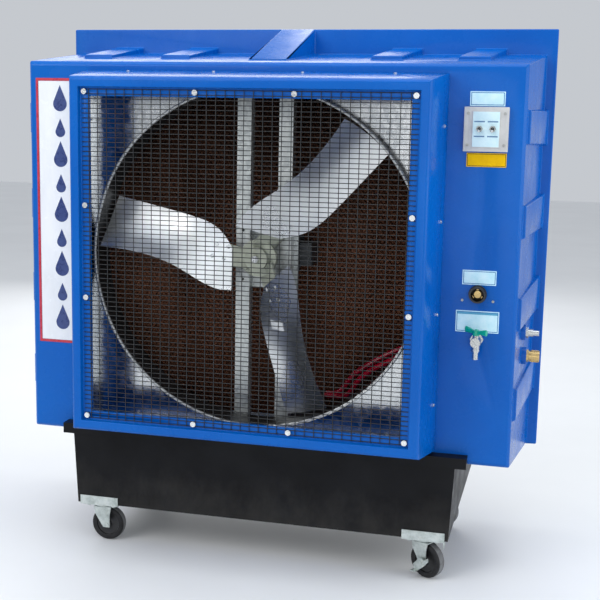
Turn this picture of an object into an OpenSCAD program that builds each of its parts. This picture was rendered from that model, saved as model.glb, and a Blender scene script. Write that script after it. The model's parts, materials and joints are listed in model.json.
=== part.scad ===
// Portable evaporative cooler for greenhouses and nurseries: a moulded plastic cabinet with a
// guarded axial fan in front, wet pads behind, a pumped water circuit, and a wheeled stand.
// Frame: +Z up, the fan faces -Y, origin on the floor under the middle of the outline.

/* [Cabinet] */
// Half width of the cabinet at its front face
cab_hw = 699; // [660:1:720]
// Half width of the cabinet where it meets the rear flange
cab_rw = 734; // [724:1:745]
// Half width of the rear flange
flange_hw = 765; // [755:1:790]
// Height of the cabinet's front top edge
cab_top = 1402; // [1395:1:1420]
// Height of the cabinet's front bottom edge
cab_bot = 331; // [325:1:335]
// Height of the top of the rear flange
flange_top = 1528; // [1490:1:1560]
// Wall thickness of the moulded cabinet
wall = 7; // [5:0.5:8]

/* [Fan] */
// Height of the fan's axis above the floor
fan_z = 870; // [865:1:875]
// Sideways position of the fan's axis
fan_x = -10; // [-14:1:-6]
// Radius of the blade tips
blade_r = 455; // [420:1:460]
// Pitch angle of the blade roots
root_pitch = 34; // [28:1:38]
// Diameter of the motor shaft
shaft_d = 19.05; // [15:0.05:22]

/* [Shroud and guard] */
// Half size of the shroud where it meets the cabinet
shroud_b = 508; // [505:1:511]
// Half size of the guard's recess
recess_h = 457; // [455:1:459]
// Wire diameter of the guard
wire_d = 2.2; // [1.6:0.1:2.6]
// Spacing of the guard's upright wires
mesh_x = 25.4; // [25.4:0.1:25.4]
// Spacing of the guard's level wires
mesh_z = 12.7; // [12.7:0.1:12.7]

/* [Controls and fittings] */
// Sideways position of the control column
ctl_x = 598; // [590:1:606]
// Height of the switch box centre
ctl_z = 1235; // [1215:1:1250]
// Side of the square switch box
box_s = 114.3; // [110:0.1:118]
// Height of the drain valve
valve_z = 681; // [675:1:690]
// Height of the power inlet
inlet_z = 802; // [798:1:810]
// Thread bore radius of the garden-hose swivel nut
hose_r = 13.2; // [13:0.05:13.4]

/* [Stand and casters] */
// Diameter of the caster wheels
wheel_d = 100; // [96:1:100]
// Trail of the casters from swivel axis to axle
trail = 15; // [12:1:18]
// Rest angle of the front right caster
steer_fr = -30; // [-60:1:60]
// Distance from the middle to the swivel axes, sideways
caster_x = 478; // [470:1:482]

/* [Hidden] */
eps = 0.02;
y_front = -330;                    // front of the shroud
y_ledge = -312;                    // ledge the guard lies on
y_face = -154;                     // front face of the cabinet
y_fl = 296;                        // front of the rear flange
y_back = 320;                      // back of the rear flange
cab_rtop = cab_top + 50;
cab_rbot = cab_bot - 58;
sill = 312;                        // height of the lower edge of the rear opening
fan_y = -154;                      // mid plane of the blades
y_edge = -316;                     // where the shroud's front edge starts to turn in
shroud_f = 486;                    // half size of the shroud there
lean = atan((shroud_b - shroud_f) / (y_face - y_edge));
guard_h = 452;
ax_z = 50;                         // height of the wheel axles
pump_x = 70;                       // sideways position of the pump
// Routes of the two red hoses: from the pump to the drain valve, and from the pump to the header
drain_run = [[142, 58, 438], [152, 58, 438], [164, 58, 438], [188, 57, 438], [210, 56, 445],
             [226, 55, 463], [240, 54, 486], [260, 53, 508], [288, 51, 530], [335, 45, 558],
             [420, 26, 604], [500, -6, 646], [564, -52, 676], [598, -88, 681], [598, -98, 681],
             [598, -108, 681]];
supply_run = [[142, 82, 438], [150, 82, 438], [158, 82, 438], [177, 83, 443], [193, 84, 458],
              [208, 85, 480], [226, 87, 502], [250, 90, 522], [282, 95, 543], [330, 102, 571],
              [400, 108, 606], [500, 118, 668], [600, 126, 760], [650, 136, 900], [660, 148, 1100],
              [654, 150, 1240], [646, 148, 1340], [641, 164, 1394], [640, 192, 1404],
              [640, 203, 1404], [640, 214, 1404]];

// ---------------------------------------------------------------- helpers
module box(x0, x1, y0, y1, z0, z1) {
  translate([x0, y0, z0]) cube([x1 - x0, y1 - y0, z1 - z0]);
}

// Cylinder along Y from y0 to y1, centred on (x, z)
module cyl_y(x, z, y0, y1, r, n = 48) {
  translate([x, y0, z]) rotate([-90, 0, 0]) cylinder(r = r, h = y1 - y0, $fn = n);
}

// Cylinder along X from x0 to x1, centred on (y, z)
module cyl_x(y, z, x0, x1, r, n = 48) {
  translate([x0, y, z]) rotate([0, 90, 0]) cylinder(r = r, h = x1 - x0, $fn = n);
}

// Cylinder along Z from z0 to z1, centred on (x, y)
module cyl_z(x, y, z0, z1, r, n = 48) {
  translate([x, y, z0]) cylinder(r = r, h = z1 - z0, $fn = n);
}

// Solid between eight corners: four of one end, then the four facing them
module hexa(p) {
  polyhedron(points = p, faces = [
    [0, 3, 2], [0, 2, 1], [4, 5, 6], [4, 6, 7], [0, 1, 5], [0, 5, 4],
    [3, 7, 6], [3, 6, 2], [0, 4, 7], [0, 7, 3], [1, 2, 6], [1, 6, 5]]);
}

// Tapered solid between a rectangle a at y0 and a rectangle b at y1, each [x0, x1, z0, z1]
module taper(y0, a, y1, b) {
  hexa([[a[0], y0, a[2]], [a[1], y0, a[2]], [a[1], y0, a[3]], [a[0], y0, a[3]],
        [b[0], y1, b[2]], [b[1], y1, b[2]], [b[1], y1, b[3]], [b[0], y1, b[3]]]);
}

function side_x(y) = cab_hw + (cab_rw - cab_hw) * (y - y_face) / (y_fl - y_face);
function top_z(y) = cab_top + (cab_rtop - cab_top) * (y - y_face) / (y_fl - y_face);
function bot_z(y) = cab_bot + (cab_rbot - cab_bot) * (y - y_face) / (y_fl - y_face);

function unit(v) = v / norm(v);

// Smooth curve through the route's points
function spline(p, i, t) =
  let (n = len(p) - 1, a = p[max(i - 1, 0)], b = p[i], c = p[i + 1], d = p[min(i + 2, n)])
  0.5 * (2 * b + (c - a) * t + (2 * a - 5 * b + 4 * c - d) * t * t
         + (3 * b - a - 3 * c + d) * t * t * t);
function route(p, k) = concat([for (i = [0 : len(p) - 2], j = [0 : k - 1]) spline(p, i, j / k)],
                              [p[len(p) - 1]]);
function tangents(q) = [for (i = [0 : len(q) - 1])
  unit(q[min(i + 1, len(q) - 1)] - q[max(i - 1, 0)])];
function carry(t, i, n) = i == len(t) ? [] :
  let (m = unit(n - (n * t[i]) * t[i])) concat([m], carry(t, i + 1, m));

// Round hose swept along a route
module hose(p, r, k = 4, n = 12, start = [0, 1, 0.1]) {
  q = route(p, k);
  t = tangents(q);
  u = carry(t, 0, start);
  pts = [for (i = [0 : len(q) - 1], j = [0 : n - 1])
         q[i] + r * cos(360 * j / n) * u[i] + r * sin(360 * j / n) * cross(t[i], u[i])];
  m = len(q) - 1;
  polyhedron(points = pts, faces = concat(
    [[for (j = [0 : n - 1]) j]],
    [[for (j = [n - 1 : -1 : 0]) m * n + j]],
    [for (i = [0 : m - 1], j = [0 : n - 1])
     [i * n + j, (i + 1) * n + j, (i + 1) * n + (j + 1) % n, i * n + (j + 1) % n]]));
}

// ---------------------------------------------------------------- cabinet
// Moulded stiffening ribs that run from front to back along the walls
module side_rib(s, z) {
  x0 = side_x(-130);
  x1 = side_x(y_fl);
  pts = [[x0 - 4, -130, z - 43], [x0 + 9, -130, z - 43], [x0 + 9, -130, z + 43], [x0 - 4, -130, z + 43],
         [x1 - 4, y_fl, z - 50], [x1 + 13, y_fl, z - 50], [x1 + 13, y_fl, z + 50], [x1 - 4, y_fl, z + 50]];
  if (s > 0) hexa(pts);
  else mirror([1, 0, 0]) hexa(pts);
}

module top_rib(x, w, y0) {
  z0 = top_z(y0);
  z1 = top_z(y_fl);
  taper(y0, [x - w, x + w, z0 - 4, z0 + 12],
        y_fl, [x * 1.045 - w - 2, x * 1.045 + w + 2, z1 - 4, z1 + 18]);
}

// Outer body of the cabinet, with its front edges taken back
module cabinet_shell() {
  c = 8;
  taper(y_face, [c - cab_hw, cab_hw - c, cab_bot + c, cab_top - c],
        y_face + c, [-side_x(y_face + c), side_x(y_face + c), bot_z(y_face + c), top_z(y_face + c)]);
  taper(y_face + c, [-side_x(y_face + c), side_x(y_face + c), bot_z(y_face + c), top_z(y_face + c)],
        y_fl, [-side_x(y_fl), side_x(y_fl), bot_z(y_fl), top_z(y_fl)]);
}

module cabinet() {
  color("#0058b8") difference() {
    union() {
      cabinet_shell();
      for (s = [-1, 1], k = [-1.5 : 1 : 1.5]) side_rib(s, fan_z + 2 + 247 * k);
      for (x = [-549, -309, 309, 549]) top_rib(x, 43, -10);
      hexa([[fan_x - 62, -60, cab_top], [fan_x + 44, -60, cab_top], [fan_x + 44, -60, 1414],
            [fan_x - 62, -60, 1414], [fan_x - 62, y_fl, cab_top], [fan_x + 44, y_fl, cab_top],
            [fan_x + 44, y_fl, flange_top], [fan_x - 62, y_fl, flange_top]]);
      cyl_x(-10, 680, 690, 722, 21);
      cyl_x(35, 605, 690, 726, 24);
    }
    taper(y_face + wall, [-cab_hw + wall, cab_hw - wall, cab_bot + wall, cab_top - wall],
          y_fl + 1, [-cab_rw + wall, cab_rw - wall, cab_rbot + wall, cab_rtop - wall]);
    box(fan_x - 488, fan_x + 488, y_face - 1, y_face + wall + 1, fan_z - 488, fan_z + 488);
    cyl_y(ctl_x, ctl_z, y_face - 1, y_face + wall + 1, 14);
    cyl_y(595, inlet_z, y_face - 1, y_face + wall + 1, 19);
    cyl_y(ctl_x, valve_z, y_face - 1, y_face + wall + 1, 11);
    cyl_x(-10, 680, 650, 723, 11);
    cyl_x(35, 605, 650, 727, 14);
    cyl_x(147, 560, 700, 740, 4, 24);
  }
}

// Rear rim of the moulding, around the opening for the pads
module rear_flange() {
  color("#0058b8") difference() {
    box(-flange_hw, flange_hw, y_fl, y_back, cab_rbot, flange_top);
    box(-715, 715, y_fl - 1, y_back + 1, sill, 1436);
  }
}

// ---------------------------------------------------------------- shroud, panel, ring, guard
module square_taper(y0, a, y1, b) {
  taper(y0, [fan_x - a, fan_x + a, fan_z - a, fan_z + a], y1, [fan_x - b, fan_x + b, fan_z - b, fan_z + b]);
}

module shroud_outer() {
  square_taper(y_edge, shroud_f, y_face, shroud_b);
  square_taper(y_front + 5, shroud_f - 3, y_edge, shroud_f);
  square_taper(y_front, shroud_f - 9, y_front + 5, shroud_f - 3);
}

// Places its children on the four leaning walls of the shroud, at the fixing screws
module at_shroud_screws() {
  inset = shroud_b - 36 * tan(lean);
  translate([fan_x, y_face - 36, fan_z])
    for (q = [0 : 3], k = [-1.5 : 1 : 1.5])
      rotate([0, 90 * q, 0]) translate([inset, 0, 247 * k]) rotate([0, 0, -lean]) children();
}

function guard_spots() = concat(
  [for (x = [-444.5, -133.3, 133.3, 444.5], z = [-444.5, 444.5]) [x, z]],
  [for (x = [-444.5, 444.5], z = [-111.5, 141]) [x, z]]);

module fan_shroud() {
  color("#0058b8") difference() {
    shroud_outer();
    box(fan_x - recess_h, fan_x + recess_h, y_front - 1, y_ledge, fan_z - recess_h, fan_z + recess_h);
    box(fan_x - 433, fan_x + 433, y_ledge - 1, y_ledge + 20, fan_z - 433, fan_z + 433);
    square_taper(y_ledge + 14, shroud_f - 10, y_face + 1, shroud_b - 8);
    at_shroud_screws() translate([-20, 0, 0]) rotate([0, 90, 0]) cylinder(d = 5, h = 30, $fn = 24);
    for (p = guard_spots()) cyl_y(fan_x + p[0], fan_z + p[1], y_ledge - 1, y_ledge + 20, 2.4, 24);
  }
}

module orifice_panel() {
  color("#b9c0c2") difference() {
    box(fan_x - 490, fan_x + 490, y_face - 48, y_face, fan_z - 490, fan_z + 490);
    box(fan_x - 488, fan_x + 488, y_face - 49, y_face - 2, fan_z - 488, fan_z + 488);
    cyl_y(fan_x, fan_z, y_face - 3, y_face + 1, 467, 128);
    at_shroud_screws() translate([-30, 0, 0]) rotate([0, 90, 0]) cylinder(d = 5, h = 30, $fn = 24);
  }
}

module venturi_ring() {
  color("#8d9496") translate([fan_x, 0, fan_z]) rotate([-90, 0, 0]) rotate_extrude($fn = 128) {
    translate([465, -200]) square([2, 92]);
    translate([469, -199]) circle(r = 4, $fn = 24);
  }
}

module guard() {
  color("#15181a") {
    for (k = [-17 : 17])
      translate([fan_x + k * mesh_x, y_ledge - 1.56 * wire_d, fan_z - guard_h])
        cylinder(d = wire_d, h = 2 * guard_h, $fn = 16);
    for (k = [-36 : 35])
      translate([fan_x - guard_h, y_ledge - wire_d / 2, fan_z + (k + 0.5) * mesh_z])
        rotate([0, 90, 0]) cylinder(d = wire_d, h = 2 * guard_h, $fn = 16);
  }
}

module pan_screw(head_d, head_h, shank_d, shank_l) {
  rotate_extrude($fn = 32) {
    square([head_d / 2, head_h * 0.45]);
    square([head_d * 0.36, head_h]);
    translate([0, -shank_l]) square([shank_d / 2, shank_l + eps]);
  }
}

module guard_screws() {
  color("#e9ecec") for (p = guard_spots())
    translate([fan_x + p[0], y_ledge - 2.14 * wire_d, fan_z + p[1]])
      rotate([90, 0, 0]) pan_screw(15, 4.6, 4.7, 16);
}

module shroud_screws() {
  color("#c9cccc") at_shroud_screws() translate([0.25, 0, 0]) rotate([0, 90, 0])
    pan_screw(10, 3.4, 4.9, 24);
}

// ---------------------------------------------------------------- struts and motor
module strut(x) {
  color("#c3cac4") difference() {
    box(x - 20, x + 20, -104, -66, fan_z - 483, fan_z + 483);
    box(x - 17.5, x + 17.5, -101.5, -65, fan_z - 484, fan_z + 484);
    for (z = [-70, 70]) cyl_y(x, fan_z + z, -105, -100, 4.25, 24);
  }
}

module struts() {
  strut(fan_x - 60);
  strut(fan_x + 60);
}

module strut_brackets() {
  color("#aab0b0") for (x = [fan_x - 60, fan_x + 60], s = [0, 1])
    translate([x, 0, fan_z]) mirror([0, 0, s]) difference() {
      union() {
        box(-25, 25, y_face, -66, 483, 486);
        box(-25, 25, y_face, y_face + 3, 468, 484);
      }
      for (k = [-14, 14]) cyl_y(k, 476, y_face - 1, y_face + 4, 2.6, 24);
    }
}

module motor_plate() {
  color("#9aa1a3") difference() {
    box(fan_x - 92, fan_x + 92, -66, -60, fan_z - 95, fan_z + 95);
    cyl_y(fan_x, fan_z, -67, -59, 30);
    for (x = [-60, 60], z = [-70, 70]) cyl_y(fan_x + x, fan_z + z, -67, -59, 4.25, 24);
  }
}

module motor_body() {
  color("#4a4f52") translate([fan_x, 0, fan_z]) rotate([-90, 0, 0]) rotate_extrude($fn = 96)
    difference() {
      union() {
        translate([0, -60]) square([52, 14]);
        translate([0, -48]) square([76, 10]);
        translate([0, -40]) square([82, 120]);
        translate([0, 78]) square([76, 22]);
        translate([0, 98]) square([60, 12]);
        for (k = [0 : 8]) translate([0, -32 + 12 * k]) square([85, 5]);
      }
      translate([-1, -61]) square([1 + shaft_d / 2 + 0.05, 151]);
    }
}

module motor_box() {
  color("#3c4144") difference() {
    box(fan_x + 85.2, fan_x + 118, -20, 60, fan_z - 32, fan_z + 32);
    box(fan_x + 88, fan_x + 119, -17, 57, fan_z - 29, fan_z + 29);
  }
  color("#3c4144") box(fan_x + 118, fan_x + 120, -22, 62, fan_z - 34, fan_z + 34);
}

module motor_shaft() {
  color("#b0b4b6") translate([fan_x, 0, fan_z]) rotate([-90, 0, 0]) rotate_extrude($fn = 64) {
    translate([0, -196]) square([shaft_d / 2 - 0.6, 3]);
    translate([0, -194]) square([shaft_d / 2, 280]);
  }
}

// ---------------------------------------------------------------- fan rotor
module on_blade(i) {
  translate([fan_x, fan_y, fan_z]) rotate([0, -(168.6 - 120 * i), 0]) children();
}

// Outline of a blade: the trailing and leading edges as the radius grows
function v_low(u) = -62 * (1 - exp(-(u - 70) / 35)) - 6 * (u - 75) / 380;
function v_high(u) = 62 + 38 * exp(-pow((u - 110) / 110, 2)) + 12 * pow(max(0, (u - 300) / 155), 2);
function pitch(u) = root_pitch - 6 * max(0, u - 150) / 305;

function blade_pt(s, k, off) =
  let (uc = 75 + 380 * s, a = v_low(uc), b = v_high(uc), v = a + (b - a) * k,
       u = (1 - s) * (78 - 0.4 * v) + s * sqrt(blade_r * blade_r - v * v),
       bow = 17 * sin(180 * k) * min(1, max(0, (uc - 150) / 120)))
  [u, -v * tan(pitch(uc)) + bow - off / cos(pitch(uc)), v];

module blade_blank() {
  ns = 16;
  nk = 8;
  w = nk + 1;
  m = (ns + 1) * w;
  pts = concat([for (i = [0 : ns], k = [0 : nk]) blade_pt(i / ns, k / nk, 0)],
               [for (i = [0 : ns], k = [0 : nk]) blade_pt(i / ns, k / nk, 2.5)]);
  skin = [for (i = [0 : ns - 1], k = [0 : nk - 1]) each
          [[i * w + k, i * w + k + 1, (i + 1) * w + k + 1],
           [i * w + k, (i + 1) * w + k + 1, (i + 1) * w + k]]];
  front = [for (f = skin) [m + f[2], m + f[1], m + f[0]]];
  ends = [for (k = [0 : nk - 1]) each
          [[m + k, m + k + 1, k + 1], [m + k, k + 1, k],
           [ns * w + k, ns * w + k + 1, m + ns * w + k + 1],
           [ns * w + k, m + ns * w + k + 1, m + ns * w + k]]];
  sides = [for (i = [0 : ns - 1]) each
           [[i * w, (i + 1) * w, m + (i + 1) * w], [i * w, m + (i + 1) * w, m + i * w],
            [m + i * w + nk, m + (i + 1) * w + nk, (i + 1) * w + nk],
            [m + i * w + nk, (i + 1) * w + nk, i * w + nk]]];
  polyhedron(points = pts, faces = concat(skin, front, ends, sides));
}

// Places its children square to the flat root of a blade, at its four rivets
module at_rivets() {
  rotate([root_pitch, 0, 0])
    for (u = [92, 126], v = [-8, 30]) translate([u, 0, v]) rotate([-90, 0, 0]) children();
}

module blade(i) {
  color("#c6ccd0") on_blade(i) difference() {
    blade_blank();
    at_rivets() translate([0, 0, -20]) cylinder(d = 6.1, h = 40, $fn = 24);
  }
}

module blade_1() { blade(0); }
module blade_2() { blade(1); }
module blade_3() { blade(2); }

module fan_hub() {
  color("#b9bda0") difference() {
    union() {
      cyl_y(fan_x, fan_z, fan_y - 32, fan_y + 34, 32, 64);
      cyl_y(fan_x, fan_z, fan_y - 8, fan_y + 14, 52, 64);
      for (i = [0 : 2]) on_blade(i) rotate([root_pitch, 0, 0]) {
        translate([20, 0.05, -20]) cube([114, 9, 62]);
        translate([25, 9, 7]) cube([85, 8, 8]);
      }
    }
    cyl_y(fan_x, fan_z, fan_y - 40, fan_y + 40, shaft_d / 2 + 0.02, 64);
    for (i = [0 : 2]) on_blade(i) at_rivets() translate([0, 0, -20]) cylinder(d = 6.1, h = 40, $fn = 24);
    for (i = [0 : 2]) on_blade(i) rotate([root_pitch, 0, 0]) translate([52, -30, -80]) cube([120, 30, 200]);
  }
}

module rivets() {
  color("#d8dcde") for (i = [0 : 2]) on_blade(i) at_rivets() rotate_extrude($fn = 24) {
    translate([0, -5]) square([4.5, 2.4]);
    translate([0, -3.9]) square([6, 1.3]);
    translate([0, -4]) square([3, 15]);
    translate([0, 9.1]) square([5.5, 2]);
  }
}

// ---------------------------------------------------------------- controls
module control_box() {
  h = box_s / 2;
  color("#b7bcbc") difference() {
    union() {
      box(ctl_x - h, ctl_x + h, y_face - 16, y_face, ctl_z - h, ctl_z + h);
      cyl_y(ctl_x, ctl_z, y_face - 1, y_face + 14, 13.9);
    }
    box(ctl_x - h + 4, ctl_x + h - 4, y_face - 17, y_face - 4, ctl_z - h + 20, ctl_z + h - 20);
    cyl_y(ctl_x, ctl_z, y_face - 20, y_face + 20, 10);
    for (x = [-46.8, 46.8], z = [-40.4, 40.4]) cyl_y(ctl_x + x, ctl_z + z, y_face - 20, y_face - 4, 2, 24);
  }
}

module control_cover() {
  h = box_s / 2;
  color("#c5cac8") difference() {
    union() {
      box(ctl_x - h, ctl_x + h, y_face - 19, y_face - 16, ctl_z - h, ctl_z + h);
      box(ctl_x - 36, ctl_x + 36, y_face - 20.5, y_face - 19, ctl_z - 47, ctl_z + 47);
    }
    for (x = [-17, 17]) cyl_y(ctl_x + x, ctl_z + 1, y_face - 22, y_face - 15, 6.1);
    for (x = [-46.8, 46.8], z = [-40.4, 40.4]) cyl_y(ctl_x + x, ctl_z + z, y_face - 22, y_face - 15, 2.2, 24);
  }
}

module cover_screws() {
  color("#9ea3a3") {
    for (x = [-46.8, 46.8], z = [-40.4, 40.4])
      translate([ctl_x + x, y_face - 19, ctl_z + z]) rotate([90, 0, 0]) pan_screw(7.5, 2.4, 3.9, 12);
    for (x = [555, 636])
      translate([x, y_face, 784.4]) rotate([90, 0, 0]) cylinder(d = 7, h = 2.4, $fn = 24);
  }
}

module toggle_bushings() {
  color("#8f9599") for (x = [-17, 17]) difference() {
    union() {
      cyl_y(ctl_x + x, ctl_z + 1, y_face - 30, y_face - 8, 6);
      translate([ctl_x + x, y_face - 20.5, ctl_z + 1]) rotate([90, 0, 0]) cylinder(d = 17, h = 4, $fn = 6);
      box(ctl_x + x - 8, ctl_x + x + 8, y_face - 14, y_face - 6, ctl_z - 14, ctl_z + 16);
    }
    cyl_y(ctl_x + x, ctl_z + 1, y_face - 31, y_face - 15, 4.6);
    cyl_x(y_face - 22, ctl_z + 1, ctl_x + x - 5.3, ctl_x + x + 5.3, 1.25, 24);
  }
}

// Lever on its cross pin
module toggle(x) {
  color("#d3d7d8") {
    translate([x, y_face - 22, ctl_z + 1]) rotate([90 + 14, 0, 0]) rotate_extrude($fn = 32) {
      intersection() {
        circle(r = 4.2, $fn = 32);
        translate([0, -5]) square([5, 10]);
      }
      polygon([[0, 0], [1.9, 0], [3.3, 24], [2.4, 26], [0, 26.4]]);
    }
    cyl_x(y_face - 22, ctl_z + 1, x - 5.2, x + 5.2, 1.2, 24);
  }
}

module toggle_fan() { toggle(ctl_x - 17); }
module toggle_pump() { toggle(ctl_x + 17); }

module sign_panel() {
  color("#f4f6f7") box(-677, -528, y_face - 1, y_face, 590, 1355);
}

// A water drop, as a flat shape
module drop(r) {
  circle(r = r, $fn = 32);
  polygon([[-r * 0.94, r * 0.34], [0, r * 2.5], [r * 0.94, r * 0.34]]);
}

module sign_marks() {
  color("#c8203c") difference() {
    box(-677, -528, y_face - 1.5, y_face - 1, 590, 1355);
    box(-669, -536, y_face - 2, y_face, 598, 1347);
  }
  color("#1c3a78") for (k = [0 : 8])
    translate([-603, y_face - 1, 1283 - 79 * k]) rotate([90, 0, 0]) linear_extrude(height = 0.5)
      drop(k % 2 == 0 ? 21 : 15);
}

module label_plates() {
  color("#dff1f4") {
    box(553, 643, y_face - 1, y_face, 1294.5, 1332);
    box(553, 642, y_face - 1, y_face, 827, 866);
    difference() {
      box(540, 654, y_face - 1, y_face, 699, 757);
      cyl_y(ctl_x, valve_z, y_face - 2, y_face + 1, 19.2);
    }
  }
  color("#ffc800") box(550, 653, y_face - 1, y_face, 1138, 1174);
}

module power_inlet() {
  color("#1a1b1d") difference() {
    union() {
      cyl_y(595, inlet_z, y_face - 6, y_face, 24);
      cyl_y(595, inlet_z, y_face - 20, y_face - 5, 21.5);
      cyl_y(595, inlet_z, y_face - 1, y_face + 40, 18.8);
    }
    cyl_y(595, inlet_z, y_face - 21, y_face + 20, 17.5);
  }
}

module inlet_core() {
  color("#a98a55") cyl_y(595, inlet_z, y_face - 4, y_face + 20, 9.5);
  color("#c9a64b") for (a = [90, 210, 330])
    translate([595 + 13 * cos(a), 0, inlet_z + 13 * sin(a)]) rotate([0, -a, 0])
      box(-1, 1, y_face - 8, y_face + 20, -3, 3);
}

// ---------------------------------------------------------------- valve and hose fittings
module valve_body() {
  color("#ccd1d4") difference() {
    union() {
      cyl_y(ctl_x, valve_z, y_face - 58, y_face - 4, 13);
      translate([ctl_x, y_face, valve_z]) rotate([90, 0, 0]) cylinder(r = 18, h = 7, $fn = 6);
      cyl_y(ctl_x, valve_z, y_face - 1, y_face + 26, 10.9);
      cyl_y(ctl_x, valve_z, y_face + 26, y_face + 46, 7.9);
      cyl_z(ctl_x, y_face - 40, valve_z - 47, valve_z, 8);
      cyl_z(ctl_x, y_face - 40, valve_z - 26, valve_z, 11);
      cyl_z(ctl_x, y_face - 40, valve_z, valve_z + 17, 8);
    }
    cyl_z(ctl_x, y_face - 40, valve_z - 48, valve_z, 5);
    cyl_y(ctl_x, valve_z, y_face - 40, y_face + 47, 5);
    cyl_z(ctl_x, y_face - 40, valve_z + 3, valve_z + 18, 3.05);
  }
}

module valve_handle() {
  color("#00a884") translate([ctl_x, y_face - 40, valve_z]) rotate([0, 0, -40]) {
    cyl_z(0, 0, 4, 34, 3, 32);
    cyl_z(0, 0, 17.5, 32, 9, 32);
    for (s = [0, 180]) rotate([0, 0, s]) hull() {
      box(4, 8, -4, 4, 22, 30);
      translate([35, 0, 29]) scale([1, 0.5, 1]) rotate([0, 90, 0])
        cylinder(r = 8, h = 5, center = true, $fn = 24);
    }
  }
}

module hose_inlet() {
  color("#c59a43") difference() {
    union() {
      cyl_x(35, 605, 668, 748, 11);
      cyl_x(35, 605, 690, 726, 13.9);
      translate([726, 35, 605]) rotate([0, 90, 0]) cylinder(r = 18, h = 6, $fn = 6);
      cyl_x(35, 605, 745, 748, 12);
    }
    cyl_x(35, 605, 667, 749, 7);
  }
}

module hose_nut() {
  color("#caa04a") difference() {
    union() {
      cyl_x(35, 605, 733, 762, 16);
      for (a = [0 : 30 : 330])
        cyl_x(35 + 15.6 * cos(a), 605 + 15.6 * sin(a), 739, 759, 1.8, 16);
    }
    cyl_x(35, 605, 732, 745, 11.05);
    cyl_x(35, 605, 744.6, 749, 12.3);
    cyl_x(35, 605, 748.4, 763, hose_r);
  }
}

module overflow_fitting() {
  color("#c9ced1") difference() {
    union() {
      cyl_x(-10, 680, 676, 758, 8);
      cyl_x(-10, 680, 690, 722, 10.9);
      translate([722, -10, 680]) rotate([0, 90, 0]) cylinder(r = 15, h = 7, $fn = 6);
      cyl_x(-10, 680, 729, 742, 10.5);
    }
    cyl_x(-10, 680, 675, 763, 5);
  }
}

// ---------------------------------------------------------------- wet section
module pad(i) {
  color("#3c2413") box(-710 + 355.2 * i, -710 + 355.2 * i + 354, 172, y_back, sill + 3, 1378);
}
module pad_1() { pad(0); }
module pad_2() { pad(1); }
module pad_3() { pad(2); }
module pad_4() { pad(3); }

module pad_shelf() {
  color("#aeb4b6") difference() {
    union() {
      box(-712, 712, 166, y_back, sill, sill + 3);
      box(-712, 712, 166, 168, sill, sill + 24);
      for (x = [-690, -232, 232, 690]) box(x - 12, x + 12, 166, 169, bot_z(169) + wall + 1.5, sill + 1);
    }
    for (x = [-600 : 100 : 600]) cyl_z(x, 245, sill - 1, sill + 4, 12, 24);
  }
}

module pad_retainer() {
  color("#b5babb") difference() {
    union() {
      difference() {
        box(-738, 738, y_back, y_back + 4, sill - 22, 1458);
        box(-690, 690, y_back - 1, y_back + 5, sill + 22, 1352);
      }
      for (x = [-355, 0, 355]) box(x - 14, x + 14, y_back, y_back + 4, sill, 1360);
      box(-700, 700, y_back, y_back + 4, 890, 914);
    }
    for (x = [-728, 728], z = [sill - 8 : 284 : 1460]) cyl_y(x, z, y_back - 1, y_back + 5, 3.2, 24);
  }
  color("#9fa5a7") for (x = [-728, 728], z = [sill - 8 : 284 : 1460])
    translate([x, y_back + 4, z]) rotate([-90, 0, 0]) cylinder(d = 12, h = 6, $fn = 6);
}

module header_pipe() {
  color("#e6e7e2") difference() {
    union() {
      cyl_x(245, 1404, -680, 680, 16.5);
      for (x = [-690, 672]) cyl_x(245, 1404, x, x + 18, 20);
      cyl_y(640, 1404, 214, 245, 11);
      for (x = [-450, 0, 450]) box(x - 10, x + 10, 235, 255, 1410, 1437.8);
    }
    cyl_x(245, 1404, -675, 675, 14);
    cyl_y(640, 1404, 213, 240, 8);
    for (x = [-650 : 50 : 600]) cyl_z(x, 245, 1380, 1400, 2.5, 16);
  }
}

module pump_body() {
  zf = bot_z(10) + wall + 1;
  color("#1f2b3c") difference() {
    union() {
      box(pump_x - 60, pump_x + 60, 10, 130, zf, zf + 14);
      cyl_z(pump_x, 70, 328, 400, 44);
      cyl_z(pump_x, 70, 398, 424, 30);
      cyl_z(pump_x, 70, 422, 452, 24);
      for (y = [58, 82]) {
        cyl_x(y, 438, pump_x, pump_x + 52, 11);
        cyl_x(y, 438, pump_x + 50, pump_x + 72, 8.5);
      }
    }
    cyl_z(pump_x, 70, 318, 372, 38);
    for (a = [0 : 45 : 315]) translate([pump_x, 70, 0]) rotate([0, 0, a]) box(-7, 7, 30, 60, 336, 366);
    cyl_z(pump_x, 70, 360, 386, 4.05, 32);
    for (y = [58, 82]) cyl_x(y, 438, pump_x + 10, pump_x + 73, 5);
  }
}

module impeller() {
  color("#d9b23c") {
    cyl_z(pump_x, 70, 342, 384, 4, 32);
    difference() {
      cyl_z(pump_x, 70, 342, 347, 33);
      cyl_z(pump_x, 70, 341, 348, 3.9, 32);
    }
    for (a = [0 : 60 : 300]) translate([pump_x, 70, 0]) rotate([0, 0, a]) box(3.6, 30, -1.5, 1.5, 346, 362);
  }
}

module hose_drain() { color("#be0a2c") hose(drain_run, 9, 3, 12); }
module hose_supply() { color("#be0a2c") hose(supply_run, 9, 3, 12); }

module float_valve() {
  color("#b98f3e") {
    difference() {
      union() {
        cyl_z(676, 35, 402, 604, 6.5, 32);
        box(655, 688, 22, 48, 380, 404);
        for (y = [22, 42]) box(640, 657, y, y + 6, 382, 402);
      }
      cyl_x(35, 605, 667, 690, 11.02);
      translate([648, 20, 392]) rotate([-90, 0, 0]) cylinder(r = 3.05, h = 30, $fn = 32);
    }
  }
}

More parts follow.
